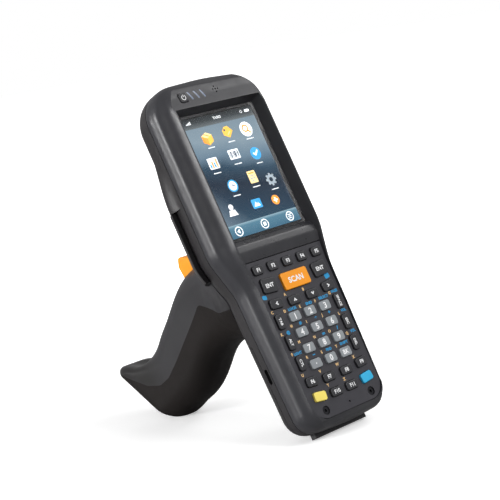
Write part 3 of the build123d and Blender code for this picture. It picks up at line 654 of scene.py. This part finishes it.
def clock(u, v):
    """A clock face."""
    draw("blue", disc(3.3), u, v)
    draw("white", disc(2.5), u, v, layer=1)
    draw("navy", bar(0.45, 2.0), u, v + 0.8, layer=2)
    draw("navy", bar(1.6, 0.45), u + 0.6, v, layer=2)


def page(u, v):
    """A list on a page."""
    draw("cream", bar(5.4, 6.6, 0.4), u, v)
    lines = (("orange", 3.8), ("grey", 3.0), ("grey", 3.8), ("grey", 2.4))
    for step, (tint, width) in enumerate(lines):
        draw(tint, bar(width, 0.6), u - 1.9 + width / 2, v + 2.1 - 1.4 * step, layer=1)


def cog(u, v):
    """A toothed wheel."""
    for step in range(8):
        angle = math.radians(45 * step)
        draw("grey", bar(1.5, 1.2), u + 2.7 * math.cos(angle), v + 2.7 * math.sin(angle), 45 * step)
    draw("grey", ring(2.7, 1.2), u, v)


# %% Lay the motifs out, with the status and lower bars
SIDE_BUTTON, BUTTONS_V, STATUS_V = 18.0, -29.2, 30.2
places = {chart: (-15.2, 7.4), tag: (2.4, 21.4), magnifier: (15.0, 20.6), parcel: (-12.0, 20.8),
          bar_code: (0.2, 9.4), tick: (14.2, 7.0), clock: (-9.4, -6.2), page: (5.4, -4.4),
          cog: (16.6, -8.2)}
for make, (u, v) in places.items():
    make(u, v)
    draw("white", bar(5.0 - 0.2 * (int(u) % 5), 0.5), u, v - 5.3)
# A person, a small landscape and a plus sign, in a row of their own
draw("white", disc(1.5), -16.6, -16.4)
draw("white", loop([(-3.0, -2.4), (3.0, -2.4), (1.8, 0.6), (-1.8, 0.6)]), -16.6, -18.6)
draw("blue", bar(6.4, 5.0, 0.6), 0.6, -18.2)
hills = loop([(-2.2, -1.4), (-0.6, 1.2), (0.4, -0.2), (1.0, 0.6), (2.2, -1.4)])
draw("white", hills, 0.6, -18.2, layer=1)
draw("orange", disc(2.6), 13.6, -19.0)
draw("white", bar(2.8, 0.8), 13.6, -19.0, layer=1)
draw("white", bar(0.8, 2.8), 13.6, -19.0, layer=1)
# Back, home and menu, on the lower bar
for u in (-SIDE_BUTTON, 0.0, SIDE_BUTTON):
    draw("white", ring(2.6, 2.0), u, BUTTONS_V)
draw("white", loop([(-1.3, 0.0), (0.7, 1.3), (0.7, -1.3)]), -SIDE_BUTTON, BUTTONS_V)
draw("white", bar(2.0, 2.0, 0.3), 0.0, BUTTONS_V)
for step in (-1, 0, 1):
    draw("white", bar(2.4, 0.45), SIDE_BUTTON, BUTTONS_V + 0.95 * step)
# The title, the signal, the battery and its tip, and a lock, on the status bar
draw("white", letters("TASKS", 1.9), -0.4, STATUS_V)
for step in range(4):
    draw("white", bar(0.6, 0.6 + 0.4 * step), -21.4 + 0.9 * step, 29.6 + 0.2 * step)
draw("white", bar(3.0, 1.5, 0.3), 20.6, STATUS_V)
draw("white", bar(0.4, 0.8), 22.3, STATUS_V)
draw("white", ring(0.8, 0.5), 16.6, STATUS_V)
for tint, shapes in drawing.items():
    if shapes:
        printed(f"picture_{tint}", shapes, glow[tint], "terminal", PICTURE_THICKNESS)
print("shapes on the display", sum(len(shapes) for shapes in drawing.values()))

# %% [markdown]
# Low on each flank a slot takes a hand strap. On the real product it opens into a dark hollow,
# so the floor of the slot gets a black sheet of painted shade, cut to the slot's own outline.

# %% Sheets of painted shade in the strap slots
# How far out the floor lies, the slot's middle, half the space between its round ends, and
# their radius, a hair less than the slot's own so that the sheet of painted shade never touches the wall
SLOT_FLOOR, SLOT_V, SLOT_W = 28.14, -100.4, -11.6
SLOT_HALF, SLOT_ROUND, END_STEPS = 2.65, 1.4, 10
# A near-black matt colour: painted shade for the hollow behind each slot.
cavity_shade = ink("slot_cavity", colour("050505"), rough=0.9)
cavity_shade.node_tree.nodes["Principled BSDF"].inputs["Specular IOR Level"].default_value = 0.05
for side, sign in (("left", -1), ("right", 1)):
    corners = []
    for end, start in ((SLOT_HALF, -90), (-SLOT_HALF, 90)):
        for step in range(END_STEPS + 1):
            angle = math.radians(start + 180 * step / END_STEPS)
            corners.append(at(sign * SLOT_FLOOR, SLOT_V + end + SLOT_ROUND * math.cos(angle),
                              SLOT_W + SLOT_ROUND * math.sin(angle)))
    mesh = bpy.data.meshes.new(f"slot_shade_sheet_{side}")
    mesh.from_pydata(corners, [], [tuple(range(len(corners)))])
    mesh.materials.append(cavity_shade)
    if mesh.polygons[0].normal.x * sign < 0:
        mesh.flip_normals()
    shade_sheet = bpy.data.objects.new(f"slot_shade_sheet_{side}", mesh)
    bpy.context.scene.collection.objects.link(shade_sheet)
    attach(shade_sheet, "terminal")
# Two sheets of painted shade, one in each slot.
print("shade_sheets", 2, "corners", len(corners))

# %% [markdown]
# The dock strip's contacts are gold-plated pads in a row. One pad is made once and repeated at
# an even pitch by a node group, which is then turned into a plain mesh. Wear shortens each
# plated patch a little differently.

# %% Plated contact pads
# The pitch, and how far the row lies behind the strip's outer face, in millimetres. The
# group's own inputs are in metres.
PAD_PITCH, PAD_COUNT, PAD_INSET = 3.8, 8, 0.39
PADS = {"Count": ("NodeSocketInt", PAD_COUNT), "Pitch": ("NodeSocketFloat", PAD_PITCH / 1000),
        "Width": ("NodeSocketFloat", 0.0013), "Length": ("NodeSocketFloat", 0.0017),
        "Thickness": ("NodeSocketFloat", 0.00005), "Seed": ("NodeSocketInt", 7),
        "Finish": ("NodeSocketMaterial", gold)}


def pads_group():
    """A row of plated pads along x, each one a little different in length."""
    group = bpy.data.node_groups.new("plated_pads", "GeometryNodeTree")
    for name, (kind, value) in PADS.items():
        socket = group.interface.new_socket(name, in_out="INPUT", socket_type=kind)
        socket.default_value = value
    group.interface.new_socket("Geometry", in_out="OUTPUT", socket_type="NodeSocketGeometry")
    given = group.nodes.new("NodeGroupInput").outputs
    result = group.nodes.new("NodeGroupOutput")
    row = group.nodes.new("GeometryNodeMeshLine")
    step = group.nodes.new("ShaderNodeCombineXYZ")
    size = group.nodes.new("ShaderNodeCombineXYZ")
    pad = group.nodes.new("GeometryNodeMeshCube")
    wear = group.nodes.new("FunctionNodeRandomValue")
    scale = group.nodes.new("ShaderNodeCombineXYZ")
    spread_out = group.nodes.new("GeometryNodeInstanceOnPoints")
    real = group.nodes.new("GeometryNodeRealizeInstances")
    coat = group.nodes.new("GeometryNodeSetMaterial")
    wear.data_type = "FLOAT"
    numbers = [socket for socket in wear.inputs if socket.type == "VALUE"]
    shortest, longest = [socket for socket in numbers if socket.name in ("Min", "Max")]
    shortest.default_value, longest.default_value = 0.9, 1.0
    worn = next(socket for socket in wear.outputs if socket.type == "VALUE")
    scale.inputs["X"].default_value = scale.inputs["Z"].default_value = 1.0
    for source, target in (
            (given["Count"], row.inputs["Count"]),
            (given["Pitch"], step.inputs["X"]),
            (step.outputs["Vector"], row.inputs["Offset"]),
            (given["Width"], size.inputs["X"]),
            (given["Length"], size.inputs["Y"]),
            (given["Thickness"], size.inputs["Z"]),
            (size.outputs["Vector"], pad.inputs["Size"]),
            (given["Seed"], wear.inputs["Seed"]),
            (worn, scale.inputs["Y"]),
            (row.outputs["Mesh"], spread_out.inputs["Points"]),
            (pad.outputs["Mesh"], spread_out.inputs["Instance"]),
            (scale.outputs["Vector"], spread_out.inputs["Scale"]),
            (spread_out.outputs["Instances"], real.inputs["Geometry"]),
            (real.outputs["Geometry"], coat.inputs["Geometry"]),
            (given["Finish"], coat.inputs["Material"]),
            (coat.outputs["Geometry"], result.inputs["Geometry"])):
        group.links.new(source, target)
    return group


# %% Turn the row of pads into one mesh on the strip
low, high = own_box("dock_connector")
holder = bpy.data.objects.new("pads", bpy.data.meshes.new("pads"))
bpy.context.scene.collection.objects.link(holder)
modifier = holder.modifiers.new("pads", "NODES")
modifier.node_group = pads_group()
for item in modifier.node_group.interface.items_tree:
    if item.in_out == "INPUT":
        modifier[item.identifier] = PADS[item.name][1]
made = holder.evaluated_get(bpy.context.evaluated_depsgraph_get())
plating = bpy.data.meshes.new_from_object(made)
bpy.data.objects.remove(holder)
start = at(-PAD_PITCH * (PAD_COUNT - 1) / 2, low[1] + PAD_INSET, (low[2] + high[2]) / 2)
facing_down = (TURN @ Matrix.Rotation(math.pi / 2, 3, "X")).to_4x4()
plating.transform(Matrix.Translation(start) @ facing_down)
plating.name = "contact_plating"
piece = bpy.data.objects.new("contact_plating", plating)
bpy.context.scene.collection.objects.link(piece)
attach(piece, "terminal")
print("plated pads", PAD_COUNT, "faces", len(plating.polygons))

# %% [markdown]
# The shot: a large soft light low on the left draws one broad highlight along the flank and
# leaves the rim beside it dark. A small one high on the right picks out the rim's inner edge and
# the brow, a third lights the keys from the front, and a weak one keeps the back from going
# black. To the camera alone the surround is white, and from a hand's width away the floor
# fades to the same white, so only the contact shadow is left. The camera looks down on the
# display side from the left, and it is rolled a little.

# %% Floor
# The camera sees a pale floor. Light that bounces off it meets a darker one, so undersides stay
# dark. From FADE_START to FADE_END metres out it comes up to the white of the surround.
FLOOR_HALF = 6
FLOOR_SEEN, FLOOR_ELSE = [0.86, 0.86, 0.86, 1.0], [0.4, 0.4, 0.4, 1.0]
FADE_START, FADE_END = 0.16, 0.5
floor_mesh = bpy.data.meshes.new("floor")
corners = [(x * FLOOR_HALF, y * FLOOR_HALF, 0) for x, y in ((-1, -1), (1, -1), (1, 1), (-1, 1))]
floor_mesh.from_pydata(corners, [], [(0, 1, 2, 3)])
floor = bpy.data.objects.new("floor", floor_mesh)
bpy.context.scene.collection.objects.link(floor)
floor_mat, tree, shader, where = new_material("floor")
shader.inputs["Roughness"].default_value = 0.8
reach = tree.nodes.new("ShaderNodeVectorMath")
reach.operation = "LENGTH"
tree.links.new(where, reach.inputs[0])
seen = tree.nodes.new("ShaderNodeLightPath").outputs["Is Camera Ray"]
tree.links.new(blend_colours(tree, seen, FLOOR_ELSE, FLOOR_SEEN), shader.inputs["Base Color"])
fade = spread(tree, reach.outputs["Value"], 0.42, 1.1, (FADE_START, FADE_END))
shader.inputs["Emission Color"].default_value = (1, 1, 1, 1)
tree.links.new(sums(tree, "MULTIPLY", fade, seen), shader.inputs["Emission Strength"])
floor_mesh.materials.append(floor_mat)
print("floor", 2 * FLOOR_HALF, "m wide")

# %% Surround
SURROUND = 0.42
world = bpy.data.worlds.new("surround")
world.use_nodes = True
tree = world.node_tree
seen = tree.nodes.new("ShaderNodeLightPath").outputs["Is Camera Ray"]
tree.nodes["Background"].inputs["Color"].default_value = (1, 1, 1, 1)
tree.links.new(sums(tree, "MAXIMUM", seen, SURROUND), tree.nodes["Background"].inputs["Strength"])
bpy.context.scene.world = world
print("surround", SURROUND, "as light, white to the camera")


# %% Lights
def look_at(obj, target):
    """Turns a light so that it faces a point."""
    obj.rotation_euler = (Vector(target) - obj.location).to_track_quat("-Z", "Y").to_euler()


HEAD = (-0.02, -0.08, 0.2)
# Name, place, side in metres, power in watts and beam in degrees
lights = [("left_softbox", (-0.9, 0.25, 0.42), 1.0, 3.1, 34),
          ("top_right", (0.9, -0.35, 0.9), 0.45, 2.8, 180),
          ("front_fill", (0.15, -1.0, 0.75), 0.35, 6.8, 180),
          ("back_fill", (0.95, 0.55, 0.3), 0.5, 1.4, 120)]
for name, place, size, watts, beam in lights:
    data = bpy.data.lights.new(name, "AREA")
    data.size = size
    data.energy = watts
    data.spread = math.radians(beam)
    light = bpy.data.objects.new(name, data)
    light.location = place
    look_at(light, HEAD)
    bpy.context.scene.collection.objects.link(light)
print("lights", len(lights))

# %% Camera
# Its focal length in pixels of a picture so many pixels wide, its sensor in millimetres, and
# its eye and three directions on the terminal's own axes
FOCAL, PICTURE_PIXELS, SENSOR = 1537.3, 500, 36.0
EYE = (-521.35, -132.01, 555.33)
RIGHT = (0.7092, -0.4044, 0.5775)
DOWN = (-0.2265, -0.9064, -0.3566)
AHEAD = (0.6676, 0.1221, -0.7344)
camera = bpy.data.objects.new("camera", bpy.data.cameras.new("camera"))
camera.data.sensor_width = SENSOR
camera.data.lens = FOCAL * SENSOR / PICTURE_PIXELS
camera.data.clip_end = 50
axes = [TURN @ Vector(RIGHT), -(TURN @ Vector(DOWN)), -(TURN @ Vector(AHEAD))]
camera.matrix_world = Matrix.Translation(at(*EYE)) @ Matrix(axes).transposed().to_4x4()
bpy.context.scene.collection.objects.link(camera)
bpy.context.scene.camera = camera
bpy.context.scene.view_settings.view_transform = "Standard"
print("camera", [round(c, 3) for c in camera.location])
